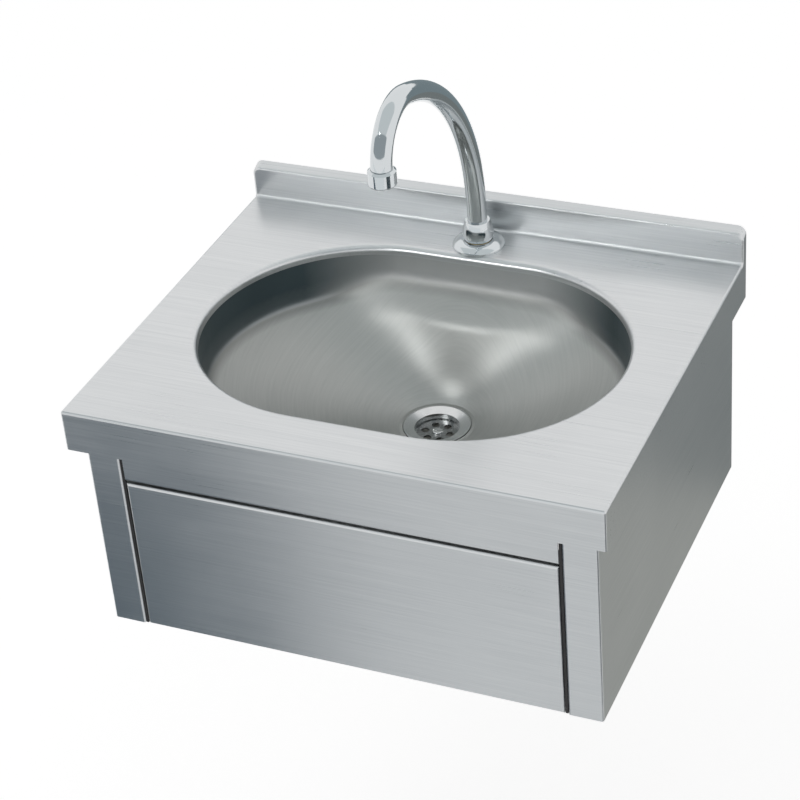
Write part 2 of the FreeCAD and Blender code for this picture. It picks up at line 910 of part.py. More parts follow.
def make_push_panel():
    bottom = -d.cabinet_height
    top = -panel_top
    gauge = d.sheet_gauge
    body = pan("push_panel", CABINET, -panel_half, bottom, panel_half, top, d.panel_return, gauge)

    ear = rectangle(
        panel_half - gauge, bottom + d.ear_rise,
        panel_half + d.ear_width, top - d.hinge_drop - d.ear_drop,
    )
    ears = new_sketch(body, "XZ", -d.panel_return)
    draw_loop(ears, ear)
    draw_loop(ears, mirrored(ear))
    pad(body, ears, gauge)

    pivots = new_sketch(body, "YZ")
    bush_radius = d.hinge_pin_diameter / 2 + d.running_clearance + d.bush_wall
    draw_circle(pivots, d.hinge_setback, top - d.hinge_drop, bush_radius + d.thread_clearance)
    cut(body, pivots, panel_half * 3, symmetric=True)

    fillet(
        body, d.bend_radius,
        ((-panel_half, 0, bottom), (panel_half, 0, bottom)),
        ((-panel_half, 0, top), (panel_half, 0, top)),
        ((-panel_half, 0, bottom), (-panel_half, 0, top)),
        ((panel_half, 0, bottom), (panel_half, 0, top)),
    )


def make_hinges():
    gauge = d.sheet_gauge
    pin_radius = d.hinge_pin_diameter / 2
    bore = pin_radius + d.running_clearance
    sleeve = bore + d.bush_wall
    sleeve_end = panel_half - gauge * 2
    clip_face = sleeve_end - d.moving_gap
    pin_end = clip_face - d.clip_gauge * 2
    lip_back = stile_inner + gauge

    pin = turned("hinge_pin", HINGE, "X", [
        (0, pin_end),
        (pin_radius, pin_end),
        (pin_radius, lip_back),
        (d.hinge_head_diameter / 2, lip_back),
        (d.hinge_head_diameter / 2, lip_back + d.hinge_head_height),
        (0, lip_back + d.hinge_head_height),
    ], keep=False)
    bush = turned("hinge_bush", HINGE, "X", [
        (bore, sleeve_end),
        (sleeve, sleeve_end),
        (sleeve, panel_half),
        (d.bush_flange_diameter / 2, panel_half),
        (d.bush_flange_diameter / 2, stile_inner - d.moving_gap),
        (bore, stile_inner - d.moving_gap),
    ], keep=False)
    clip = ring("hinge_clip", HINGE, "X", pin_radius + d.thread_clearance, d.clip_diameter / 2,
                clip_face - d.clip_gauge, clip_face, keep=False)
    for name, source in (("hinge_pins", pin), ("hinge_bushes", bush), ("hinge_clips", clip)):
        group(name, [source, mirror_image(f"{source.Label}_left", source, keep=False)])


def make_buffers():
    """Rubber stops on the panel's ears that meet the back edges of the stile lips."""
    face = d.stile_lip + d.moving_gap
    back = d.panel_return - d.sheet_gauge
    across = panel_half + d.moving_gap + d.buffer_diameter / 2
    pads = []
    for level in (0, 1):
        height = d.buffer_rise + d.buffer_pitch * level - d.cabinet_height
        place = (across, -cabinet_front, d.deck_height + height)
        right = turned(f"buffer_{level}", place, "Y",
                       rectangle(0, face, d.buffer_diameter / 2, back), keep=False)
        pads += [right, mirror_image(f"buffer_{level}_left", right, keep=False)]
    group("panel_buffers", pads)


# Striker: a bracket behind the panel whose bolt reaches the valve button


def make_striker():
    gauge = d.bar_gauge
    back = d.sheet_gauge
    face = back + d.striker_depth
    side = d.striker_width / 2
    foot = side + d.striker_foot
    tip = d.crossbar_setback - d.head_reach - d.stem_showing - d.button_height - d.moving_gap
    place = (0, -cabinet_front, valve_height)
    bolt_radius = d.striker_bolt_diameter / 2

    bracket = new_body("striker_bracket", place)
    section = new_sketch(bracket, "XY")
    draw_loop(section, [
        (-foot, back),
        (-side + gauge, back),
        (-side + gauge, face - gauge),
        (side - gauge, face - gauge),
        (side - gauge, back),
        (foot, back),
        (foot, back + gauge),
        (side, back + gauge),
        (side, face),
        (-side, face),
        (-side, back + gauge),
        (-foot, back + gauge),
    ])
    pad(bracket, section, d.striker_height, symmetric=True)
    hole = new_sketch(bracket, "XZ")
    draw_circle(hole, 0, 0, bolt_radius + d.thread_clearance)
    cut(bracket, hole, face * 2, symmetric=True)

    head_radius = d.striker_head_diameter / 2
    head_base = face + d.striker_nut_height
    dome = (head_radius * head_radius + d.striker_dome * d.striker_dome) / (d.striker_dome * 2)
    turned("striker_bolt", place, "Y", [
        (0, back + gauge),
        (bolt_radius, back + gauge),
        (bolt_radius, head_base),
        (head_radius, head_base),
        (head_radius, tip - d.striker_dome),
        (0, tip, dome),
    ])
    hex_nut("striker_locknut", place, "XZ", d.striker_nut_flats, bolt_radius + d.thread_clearance,
            -head_base, d.striker_nut_height)


# Valve: carried by a crossbar between the side panels, worked by its push button


def make_crossbar():
    half = cabinet_half - d.sheet_gauge
    tall = d.crossbar_height / 2
    body = pan("valve_crossbar", VALVE, -half, -tall, half, tall, d.crossbar_depth, d.bar_gauge)
    hole = new_sketch(body, "XZ")
    draw_circle(hole, 0, 0, d.head_thread_diameter / 2 + d.thread_clearance)
    cut(body, hole, d.bar_gauge * 3, symmetric=True)


def make_valve():
    thread = d.head_thread_diameter / 2
    flange_back = d.bar_gauge + d.head_flange_height
    skirt_end = flange_back + d.head_skirt
    bore = d.valve_bore / 2
    stem = d.stem_diameter / 2
    shell = d.valve_diameter / 2

    turned("valve_head", VALVE, "Y", [
        (stem + d.running_clearance, -d.head_reach),
        (thread, -d.head_reach),
        (thread, d.bar_gauge),
        (d.head_flange_diameter / 2, d.bar_gauge),
        (d.head_flange_diameter / 2, flange_back),
        (bore - d.thread_clearance, flange_back),
        (bore - d.thread_clearance, skirt_end),
        (stem + d.running_clearance, skirt_end),
    ])
    hex_nut("valve_locknut", VALVE, "XZ", d.locknut_flats, thread + d.thread_clearance,
            0, d.locknut_height)

    # Body with a threaded inlet below and a threaded outlet at its right side
    end = flange_back + d.valve_length
    port = flange_back + d.port_setback
    body = turned("valve_body", VALVE, "Y", [
        (0, end - d.valve_end_wall),
        (bore, end - d.valve_end_wall),
        (bore, flange_back),
        (shell, flange_back),
        (shell, end - d.bend_radius),
        (shell - d.bend_radius, end, d.bend_radius),
        (0, end),
    ])
    boss = d.port_boss_diameter / 2
    waterway = d.pipe_diameter / 2 + d.thread_clearance
    inlet = d.inlet_drop - d.inlet_thread_length
    outlet = d.outlet_reach - d.outlet_thread_length
    ports = (
        ("XY", (0, port), ((boss, inlet), (d.inlet_thread_diameter / 2, d.inlet_drop)), True),
        ("YZ", (port, 0), ((boss, outlet), (d.outlet_thread_diameter / 2, d.outlet_reach)), False),
    )
    for plane, centre, steps, reverse in ports:
        for radius, length in steps:
            stub = new_sketch(body, plane)
            draw_circle(stub, centre[0], centre[1], radius)
            pad(body, stub, length, reverse)
        way = new_sketch(body, plane)
        draw_circle(way, centre[0], centre[1], waterway)
        cut(body, way, steps[-1][1] * 2, not reverse)
    clear = new_sketch(body, "XY")
    draw_loop(clear, rectangle(0, flange_back, bore, end - d.valve_end_wall))
    groove = body.newObject("PartDesign::Groove", "valve_body_bore")
    groove.Profile = clear
    groove.ReferenceAxis = (clear, ["V_Axis"])
    groove.Angle = 360

    # Push button with its stem and piston in one piece
    piston_face = skirt_end + d.moving_gap
    piston_end = piston_face + d.piston_length
    button = d.button_diameter / 2
    cap_back = -d.head_reach - d.stem_showing
    cap_face = cap_back - d.button_height
    turned("push_button", VALVE, "Y", [
        (0, cap_face),
        (button - d.bend_radius, cap_face),
        (button, cap_face + d.bend_radius, d.bend_radius),
        (button, cap_back),
        (stem, cap_back),
        (stem, piston_face),
        (d.piston_diameter / 2, piston_face),
        (d.piston_diameter / 2, piston_end),
        (0, piston_end),
    ])
    middle = (piston_face + piston_end) / 2
    ring("piston_seal", VALVE, "Y", d.piston_diameter / 2, bore - d.moving_gap,
         middle - d.seal_width / 2, middle + d.seal_width / 2)
    make_spring(cap_back.value, -d.head_reach.value)


def spring_biarcs(radius, pitch, turns, start):
    """A helix about the Y axis, as two tangent arcs for each quarter turn."""
    quarter = math.pi / 2

    def point(angle):
        along = start + pitch * angle / (2 * math.pi)
        return FreeCAD.Vector(radius * math.cos(angle), along, radius * math.sin(angle))

    def heading(angle):
        rise = pitch / (2 * math.pi)
        return FreeCAD.Vector(-radius * math.sin(angle), rise, radius * math.cos(angle)).normalize()

    edges = []
    for step in range(int(turns * 4)):
        first, last = point(step * quarter), point((step + 1) * quarter)
        leave, arrive = heading(step * quarter), heading((step + 1) * quarter)
        gap = last - first
        along = gap.dot(leave + arrive)
        turn = 2 * (1 - leave.dot(arrive))
        reach = (-along + math.sqrt(along ** 2 + turn * gap.dot(gap))) / turn
        joint = (first + leave * reach + last - arrive * reach) / 2
        for begin, tangent, finish in ((first, leave, joint), (joint, None, last)):
            if tangent is None:
                tangent = (last - arrive * reach - joint).normalize()
            edges.append(tangent_arc(begin, tangent, finish))
    return Part.Wire(edges)


def tangent_arc(begin, tangent, finish):
    """The arc from begin to finish that leaves along a tangent."""
    chord = finish - begin
    side = (chord - tangent * chord.dot(tangent)).normalize()
    radius = chord.dot(chord) / (2 * chord.dot(side))
    centre = begin + side * radius
    middle = centre + ((begin + finish) / 2 - centre).normalize() * radius
    return Part.Arc(begin, middle, finish).toShape()


def make_spring(start, end):
    """The coil between the button's cap and the valve head."""
    wire = d.spring_wire.value / 2
    rest = d.moving_gap.value / 2
    turns = SIZES["spring_turns"]
    radius = d.spring_diameter.value / 2
    length = end - start - 2 * (wire + rest)
    pitch = length / turns
    path = spring_biarcs(radius, pitch, turns, start + wire + rest)
    first = path.Edges[0]
    section = Part.Circle(first.valueAt(first.FirstParameter), first.tangentAt(first.FirstParameter), wire)
    tube = Part.BRepOffsetAPI.MakePipeShell(path)
    tube.add(Part.Wire(section.toShape()))
    tube.build()
    tube.makeSolid()

    spring = doc.addObject("Part::Feature", "return_spring")
    spring.Label = "return_spring"
    spring.Shape = tube.shape()
    spring.Placement.Base = FreeCAD.Vector(0, -valve_depth.value, valve_height.value)
    subparts.append(spring)
    slant = math.cos(math.atan(pitch / (2 * math.pi * radius)))
    print(f"return_spring least gap to itself {pitch * slant - 2 * wire:.2f} mm")


# Supply pipe from the valve's outlet round the waste and up to the tap


def rounded_path(corners, radius):
    """Straight runs joined by tangent arcs at the inner corners."""
    edges = []
    here = corners[0]
    for before, corner, after in zip(corners, corners[1:], corners[2:]):
        back = (before - corner).normalize()
        ahead = (after - corner).normalize()
        start = corner + back * radius
        end = corner + ahead * radius
        middle = corner + (back + ahead) * radius * (1 - 1 / math.sqrt(2))
        edges.append(Part.LineSegment(here, start).toShape())
        edges.append(Part.Arc(start, middle, end).toShape())
        here = end
    edges.append(Part.LineSegment(here, corners[-1]).toShape())
    return Part.Wire(edges)


def pipe_solid(path, radius):
    first = path.Edges[0]
    start = first.valueAt(first.FirstParameter)
    circle = Part.Circle(start, first.tangentAt(first.FirstParameter), radius)
    return path.makePipeShell([Part.Wire(circle.toShape())], True, False)


def make_supply_pipe():
    flange_back = d.bar_gauge.value + d.head_flange_height.value
    port = -valve_depth.value + flange_back + d.port_setback.value
    level = valve_height.value
    rise = d.deck_height.value - d.shank_drop.value + d.pipe_insert.value
    tap = -d.tap_to_wall.value
    aside = d.pipe_offset.value
    corners = [
        FreeCAD.Vector(d.outlet_reach.value - d.pipe_insert.value, port, level),
        FreeCAD.Vector(aside, port, level),
        FreeCAD.Vector(aside, tap, level),
        FreeCAD.Vector(0, tap, level),
        FreeCAD.Vector(0, tap, rise),
    ]
    path = rounded_path(corners, d.pipe_bend.value)
    outside = d.pipe_diameter.value / 2
    inside = outside - d.pipe_wall.value
    pipe = doc.addObject("Part::Feature", "supply_pipe")
    pipe.Label = "supply_pipe"
    pipe.Shape = pipe_solid(path, outside).cut(pipe_solid(path, inside))
    subparts.append(pipe)


def union_nut(name, place, plane, flats, thread_diameter, length, reverse):
    """A capped nut that draws the pipe on to a threaded end at its frame's origin."""
    body = new_body(name, place)
    outline = new_sketch(body, plane, -d.nut_cap if not reverse else d.nut_cap)
    draw_loop(outline, hexagon(flats))
    draw_circle(outline, 0, 0, d.pipe_diameter / 2 + d.thread_clearance)
    pad(body, outline, length, reverse)
    thread = new_sketch(body, plane)
    draw_circle(thread, 0, 0, thread_diameter / 2 + d.thread_clearance)
    cut(body, thread, length, not reverse)


def make_union_nuts():
    port = -valve_depth + d.bar_gauge + d.head_flange_height + d.port_setback
    outlet_end = (d.outlet_reach, port, valve_height)
    outlet_nut = d.nut_cap + d.outlet_thread_length - d.moving_gap
    union_nut("valve_outlet_nut", outlet_end, "YZ", d.outlet_nut_flats, d.outlet_thread_diameter,
              outlet_nut, reverse=True)
    tail_end = (0, -d.tap_to_wall, d.deck_height - d.shank_drop)
    union_nut("tap_tail_nut", tail_end, "XY", d.tail_nut_flats, d.shank_thread_diameter,
              d.tail_nut_length, reverse=False)


# Tap base: shank through the deck, clamped below, with a rosette and a swivel nut above


def make_tap_base():
    shank = d.shank_thread_diameter / 2
    bore = shank + d.thread_clearance
    rosette = d.rosette_diameter / 2
    recess = rosette - d.rosette_skirt
    crown = d.rosette_crown / 2
    rise = d.rosette_height - d.rosette_edge
    run = rosette - crown
    dome = (run * run + rise * rise) / (rise * 2)

    ring("deck_gasket", TAP, "Z", bore, recess - d.thread_clearance, 0, d.gasket_height)
    turned("tap_rosette", TAP, "Z", [
        (bore, d.gasket_height),
        (recess, d.gasket_height),
        (recess, 0),
        (rosette, 0),
        (rosette, d.rosette_edge),
        (crown, d.rosette_height, dome),
        (bore, d.rosette_height),
    ])

    flange_top = d.rosette_height + d.shank_flange_height
    neck_top = flange_top + d.shank_neck_height
    socket = d.spigot_diameter / 2 + d.running_clearance
    socket_floor = neck_top - d.spigot_length - d.moving_gap
    tail = d.pipe_diameter / 2 + d.thread_clearance
    insert_top = -d.shank_drop + d.pipe_insert + d.moving_gap
    waterway = d.waterway_diameter / 2
    turned("tap_shank", TAP, "Z", [
        (tail, -d.shank_drop),
        (shank, -d.shank_drop),
        (shank, d.rosette_height),
        (d.shank_flange_diameter / 2, d.rosette_height),
        (d.shank_flange_diameter / 2, flange_top),
        (d.shank_neck_diameter / 2, flange_top),
        (d.shank_neck_diameter / 2, neck_top),
        (socket, neck_top),
        (socket, socket_floor),
        (waterway, socket_floor),
        (waterway, insert_top),
        (tail, insert_top),
    ])

    # Swivel nut over the shank's neck, holding the spout's collar under its top
    neck = d.shank_neck_diameter / 2 + d.thread_clearance
    flange_clear = d.shank_flange_diameter / 2 + d.thread_clearance
    collar_room = neck_top + d.moving_gap * 2 + d.collar_height + d.slip_ring_height
    base = d.rosette_height + d.swivel_lift
    top = d.rosette_height + d.swivel_height
    waist = base + d.swivel_bulge
    outer = d.swivel_base_diameter / 2
    shoulder = d.swivel_top_diameter / 2
    height = top - waist
    step = outer - shoulder
    side = (height * height + step * step) / (step * 2)
    turned("swivel_nut", TAP, "Z", [
        (flange_clear, base),
        (d.swivel_waist_diameter / 2, base),
        (outer, waist),
        (shoulder, top, side),
        (tube_radius + d.running_clearance, top),
        (tube_radius + d.running_clearance, collar_room),
        (neck, collar_room),
        (neck, flange_top),
        (flange_clear, flange_top),
    ])

    # Clamping parts under the deck
    seal_face = -d.sheet_gauge - d.shank_seal_height
    washer_face = seal_face - d.shank_washer_height
    washer = d.shank_washer_diameter / 2
    ring("shank_seal", TAP, "Z", bore, washer, seal_face, -d.sheet_gauge)
    ring("shank_washer", TAP, "Z", bore, washer, washer_face, seal_face)
    hex_nut("shank_backnut", TAP, "XY", d.backnut_flats, bore,
            washer_face - d.backnut_height, d.backnut_height)


# Spout: a bent tube that turns in the shank, with the aerator on its end


def make_spout():
    neck_top = d.rosette_height + d.shank_flange_height + d.shank_neck_height
    foot = neck_top + d.moving_gap
    body = new_body("spout", TAP)

    lower = d.lower_arc_radius
    upper = d.upper_arc_radius
    sweep = d.lower_arc_angle
    crest = (-lower * (1 - cosine(sweep)), d.riser_height + lower * sine(sweep))
    spine = new_sketch(body, "YZ")
    draw_path(spine, [
        (0, foot),
        (0, d.riser_height),
        (crest[0], crest[1], lower),
        (-spout_reach, arc_end, upper),
        (-spout_reach, tube_end),
    ], closed=False)
    section = new_sketch(body, "XY", foot)
    draw_circle(section, 0, 0, tube_radius)
    draw_circle(section, 0, 0, tube_bore)
    tube = body.newObject("PartDesign::AdditivePipe", "spout_tube")
    tube.Profile = section
    tube.Spine = (spine, [])

    # Collar and grooved spigot at the foot
    spigot = d.spigot_diameter / 2
    groove = spigot - d.ring_groove_depth
    waterway = d.waterway_diameter / 2
    bottom = neck_top - d.spigot_length
    profile = [(waterway, bottom), (spigot, bottom)]
    for index in (0, 1):
        low = bottom + d.ring_inset + d.ring_pitch * index
        high = low + d.ring_groove_width
        profile += [(spigot, low), (groove, low), (groove, high), (spigot, high)]
    profile += [
        (spigot, foot),
        (d.collar_diameter / 2, foot),
        (d.collar_diameter / 2, foot + d.collar_height),
        (waterway, foot + d.collar_height),
    ]
    base = new_sketch(body, "XZ")
    draw_loop(base, profile)
    turn = body.newObject("PartDesign::Revolution", "spout_foot")
    turn.Profile = base
    turn.ReferenceAxis = (base, ["V_Axis"])
    turn.Angle = 360

    section_radius = d.ring_section / 2
    rings = []
    for index in (0, 1):
        torus = doc.addObject("Part::Torus", f"o_ring_{index}")
        torus.setExpression("Radius1", (groove + section_radius + d.thread_clearance).text)
        torus.setExpression("Radius2", section_radius.text)
        middle = bottom + d.ring_inset + d.ring_pitch * index + d.ring_groove_width / 2
        set_place(torus, (0, -d.tap_to_wall, d.deck_height + middle))
        rings.append(torus)
    group("spout_o_rings", rings)
    slip = foot + d.collar_height
    ring("slip_ring", TAP, "Z", tube_radius + d.thread_clearance, d.collar_diameter / 2,
         slip, slip + d.slip_ring_height)


def make_aerator():
    """Pieces of the outlet, measured from the end of the tube."""
    outer = d.aerator_diameter / 2
    tube = tube_radius + d.thread_clearance
    bottom = d.aerator_overlap - d.aerator_height
    cartridge = outer - d.aerator_wall
    lip = cartridge - d.aerator_lip
    round_off = d.aerator_round
    turned("aerator_housing", OUTLET, "Z", [
        (tube, 0),
        (cartridge, 0),
        (cartridge, bottom + d.aerator_lip),
        (lip, bottom + d.aerator_lip),
        (lip, bottom),
        (outer - round_off, bottom),
        (outer, bottom + round_off, round_off),
        (outer, d.aerator_overlap - d.aerator_shoulder),
        (outer - d.aerator_shoulder, d.aerator_overlap),
        (tube, d.aerator_overlap),
    ])
    inner = cartridge - d.thread_clearance
    washer_face = -d.aerator_washer_height
    ring("aerator_washer", OUTLET, "Z", tube_bore - d.aerator_lip, inner, washer_face, 0)

    screen = turned("aerator_screen", OUTLET, "Z",
                    rectangle(0, bottom + d.aerator_lip, inner, washer_face))
    hole = new_sketch(screen, "XY")
    draw_circle(hole, d.screen_pitch_diameter / 2, 0, d.screen_hole_diameter / 2)
    first = cut(screen, hole, d.aerator_height)
    polar_copies(screen, first, d.screen_holes)


def polar_copies(body, feature, count):
    """Repeats a feature round the body's Z axis."""
    copies = body.newObject("PartDesign::PolarPattern", f"{body.Name}_copies")
    copies.Originals = [feature]
    axis = next(item for item in body.Origin.OriginFeatures if item.Role == "Z_Axis")
    copies.Axis = (axis, [""])
    copies.Angle = 360
    copies.setExpression("Occurrences", count.text)
    body.Tip = copies
    doc.recompute()


# Waste: flange and grid above the bowl's seat, body and tail below it


def make_waste():
    throat = d.waste_throat_diameter / 2
    sleeve = throat + d.waste_throat_wall
    flange = d.waste_flange_diameter / 2
    seat = d.waste_seal_height
    edge = seat + d.waste_flange_edge
    ledge_top = edge - d.waste_throat_drop - d.waste_throat_length
    ledge_bottom = ledge_top - d.waste_throat_wall
    ring("waste_top_seal", WASTE, "Z", sleeve + d.thread_clearance, flange - d.waste_flange_lip, 0, seat)
    turned("waste_flange", WASTE, "Z", [
        (throat - d.waste_ledge, ledge_bottom),
        (sleeve, ledge_bottom),
        (sleeve, seat),
        (flange, seat),
        (flange, edge),
        (flange - d.waste_flange_lip, edge),
        (throat, edge - d.waste_throat_drop),
        (throat, ledge_top),
        (throat - d.waste_ledge, ledge_top),
    ])

    grid_radius = throat - d.grid_gap
    screw = d.waste_screw_diameter / 2
    grid_top = ledge_top + d.grid_gauge
    grid = ring("strainer_grid", WASTE, "Z", screw + d.thread_clearance, grid_radius, ledge_top, grid_top)
    hole = new_sketch(grid, "XY", grid_top)
    draw_circle(hole, d.grid_pitch_diameter / 2, 0, d.grid_hole_diameter / 2)
    first = cut(grid, hole, d.grid_gauge * 2)
    polar_copies(grid, first, d.grid_hole_count)

    head = d.waste_screw_head / 2
    head_top = grid_top + d.waste_screw_head_height
    bolt = turned("waste_screw", WASTE, "Z", [
        (0, grid_top - d.waste_screw_length),
        (screw, grid_top - d.waste_screw_length),
        (screw, grid_top),
        (head, grid_top),
        (head, head_top - d.waste_screw_head_height / 2),
        (head - d.waste_screw_head_height / 2, head_top, d.waste_screw_head_height / 2),
        (0, head_top),
    ])
    slot = new_sketch(bolt, "XY", head_top)
    draw_loop(slot, rectangle(-head, -d.waste_screw_slot / 2, head, d.waste_screw_slot / 2))
    cut(bolt, slot, d.waste_screw_head_height / 2)

    # Body under the bowl, with a bridge across its tail that takes the screw
    under = -d.bowl_gauge
    seal_bottom = under - d.lower_seal_height
    body_outer = d.waste_body_diameter / 2
    cup_inner = sleeve + d.moving_gap
    cup_outer = cup_inner + d.waste_cup_wall
    cup_bottom = seal_bottom - d.waste_cup_depth
    tail_top = cup_bottom - d.waste_cone_drop
    tail_outer = d.waste_tail_diameter / 2
    tail_inner = tail_outer - d.waste_tail_wall
    tail_bottom = tail_top - d.waste_tail_length
    ring("waste_bottom_seal", WASTE, "Z", sleeve + d.moving_gap, body_outer - d.waste_flange_lip,
         seal_bottom, under)
    body = turned("waste_body", WASTE, "Z", [
        (tail_inner, tail_bottom),
        (tail_outer, tail_bottom),
        (tail_outer, tail_top),
        (cup_outer, cup_bottom),
        (cup_outer, seal_bottom - d.waste_body_flange),
        (body_outer, seal_bottom - d.waste_body_flange),
        (body_outer, seal_bottom),
        (cup_inner, seal_bottom),
        (cup_inner, cup_bottom),
        (tail_inner, tail_top),
    ])
    bridge_bottom = tail_top - d.bridge_height
    bar = new_sketch(body, "XY", bridge_bottom)
    draw_loop(bar, rectangle(-d.bridge_width / 2, -tail_inner, d.bridge_width / 2, tail_inner))
    pad(body, bar, d.bridge_height)
    boss = new_sketch(body, "XY", bridge_bottom)
    draw_circle(boss, 0, 0, d.bridge_boss_diameter / 2)
    pad(body, boss, d.bridge_height)
    tapping = new_sketch(body, "XY", bridge_bottom)
    draw_circle(tapping, 0, 0, screw + d.thread_clearance)
    cut(body, tapping, d.bridge_height * 2, symmetric=True)


make_worktop()
make_bowl()
make_side_panels()
make_front_rail()
make_push_panel()
make_hinges()
make_buffers()
make_striker()
make_crossbar()
make_valve()
make_supply_pipe()
make_union_nuts()
make_tap_base()
make_spout()
make_aerator()
make_waste()
doc.recompute()

# Every object has to be sound before anything is written
for obj in doc.Objects:
    if "Invalid" in obj.State or "Error" in obj.State:
        raise RuntimeError(f"{obj.Label} did not build")
for obj in subparts:
    if obj.Shape.isNull() or not obj.Shape.isValid():
        raise RuntimeError(f"the shape of {obj.Label} is not sound")

os.makedirs("parts", exist_ok=True)
for obj in subparts:
    obj.Shape.exportStep(f"parts/{obj.Label}.step")
print(f"{len(subparts)} sub-parts written")
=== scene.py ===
import math

import bmesh
import bpy
from mathutils import Matrix, Quaternion, Vector


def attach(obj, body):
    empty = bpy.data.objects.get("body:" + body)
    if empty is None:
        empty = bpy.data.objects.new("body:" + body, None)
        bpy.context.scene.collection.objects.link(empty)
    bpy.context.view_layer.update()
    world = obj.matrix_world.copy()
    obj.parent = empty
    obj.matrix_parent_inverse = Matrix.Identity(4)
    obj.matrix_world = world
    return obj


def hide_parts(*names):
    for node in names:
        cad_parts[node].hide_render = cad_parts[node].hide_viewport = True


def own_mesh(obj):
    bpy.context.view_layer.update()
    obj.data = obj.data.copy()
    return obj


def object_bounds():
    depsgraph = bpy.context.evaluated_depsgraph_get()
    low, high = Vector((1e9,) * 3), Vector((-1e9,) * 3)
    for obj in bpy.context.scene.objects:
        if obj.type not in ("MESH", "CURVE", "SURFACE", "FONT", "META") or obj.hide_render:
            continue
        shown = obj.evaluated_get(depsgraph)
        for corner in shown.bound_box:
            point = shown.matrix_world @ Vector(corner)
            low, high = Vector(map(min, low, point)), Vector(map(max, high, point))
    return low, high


# A wall-hung wash basin: brushed stainless sheet, a satin pressed bowl, a chrome swan-neck spout and a
# brass valve behind a front panel that swings in. Everything is in metres, in the frame of the solids.

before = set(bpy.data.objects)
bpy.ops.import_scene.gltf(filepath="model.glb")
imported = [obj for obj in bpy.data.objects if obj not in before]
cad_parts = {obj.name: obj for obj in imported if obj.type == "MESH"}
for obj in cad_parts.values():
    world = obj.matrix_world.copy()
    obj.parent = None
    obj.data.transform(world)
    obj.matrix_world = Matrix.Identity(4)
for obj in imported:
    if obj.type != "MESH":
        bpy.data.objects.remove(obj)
cad_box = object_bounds()

# Camera
CAMERA_PLACE = Vector((0.760, -1.846, 1.2687))
CAMERA_AZIMUTH = 25.37
CAMERA_ELEVATION = 33.75
CAMERA_ROLL = -4.96
CAMERA_LENS = 107.07
SENSOR_WIDTH = 36.0
CLIP_NEAR = 0.05
CLIP_FAR = 100.0

# Floor and light: the lift is added to the floor where it is seen or mirrored, and the fill is the sky's
# strength for everything that isn't
FLOOR_DROP = 0.55
FLOOR_LEVEL = cad_box[0].z - FLOOR_DROP
FLOOR_SIZE = 60.0
FLOOR_TONE = 0.80
FLOOR_LIFT = 0.50
SKY_FILL = 0.62
STUDIO_CENTRE = (0.0, -0.2, 0.1)
TOP_POWER = 2.0
KEY_STRENGTH = 8.0
CARD_RISE = 0.06
TINT_RISE = 0.04

# Upright axes of the waste, the tap and the valve's inlet
DRAIN_AXIS = Vector((0.0, -0.167, 0.0))
TAP_AXIS = Vector((0.0, -0.039, 0.0))
INLET_AXIS = Vector((0.0, -0.2915, 0.0))

# The bowl's plan: half the straight part of its sides, the radius of its ends and its middle, and how far
# inside that outline the wall's painted light and the painted shade of the fold below it begin
BOWL_STRAIGHT = 0.0557
BOWL_RADIUS = 0.1432
BOWL_CENTRE = Vector((0.0, -0.2083, 0.0))
WALL_BAND = 0.004
FOLD_BAND = 0.012

# Brushing: streaks and scratches to the metre, along and across it
STREAKS_ALONG = 7.0
STREAKS_ACROSS = 620.0
SCRATCHES_ALONG = 42.0
SCRATCHES_ACROSS = 2480.0

# Rings rubbed round the drain: how many to the metre, and how soon each changes on its way round
RING_COUNT = 700.0
RING_CHANGE = 2.5

# Other marks to the metre, one number for each axis where they have a direction
SHEET_CLOUDS = 9.0
BOWL_CLOUDS = 11.0
PLATE_SMEARS = 40.0
PLATE_WIPES = (160.0, 160.0, 25.0)
TARNISH_CLOUDS = 55.0
TOOL_LINES_Y = (30.0, 2600.0, 30.0)
TOOL_LINES_Z = (30.0, 30.0, 2600.0)
SPANGLES = 110.0
SPANGLE_CLOUDS = 30.0
RUBBER_SKIN = 900.0
PLASTIC_SKIN = 600.0
SKIN_CLOUDS = 35.0

# How deep the marks are, and the two ends of the range that turns steel from its dark to its pale tone
BRUSH_DEPTH = 0.00003
TOOL_DEPTH = 0.00002
SKIN_DEPTH = 0.00004
STEEL_RANGE = ((0.3, 0.0), (0.7, 1.0))

# Threads: the steps in a turn, how far the ridge sinks in and stands out, its foot's share of the pitch, the
# radius and pitch of the two sizes, and the heights between which each thread winds
THREAD_STEPS = 40
THREAD_ROOT = 0.00005
THREAD_CREST = 0.00025
THREAD_FOOT = 0.7
HALF_INCH = (0.0104775, 0.001814)
INCH_AND_QUARTER = (0.020955, 0.002309)
INLET_SPAN = (-0.0955, -0.0822)
SHANK_SPAN = (0.0974, 0.1156)
WASTE_SPAN = (-0.0655, -0.0260)

# The return spring: how near points are to be merged, and the angle in degrees past which an edge stays
# sharp
MERGE_REACH = 0.000001
SHARP_ANGLE = 40.0

# Dark rubber lips put in the gaps between the push panel and the stiles as painted shade
LIP_INNER = 0.2034
LIP_OUTER = 0.2060
LIP_FRONT = -0.3944
LIP_BACK = -0.3926
LIP_BOTTOM = -0.1055
LIP_TOP = 0.0925
LIP_ROUND = 0.0003


# Shader building


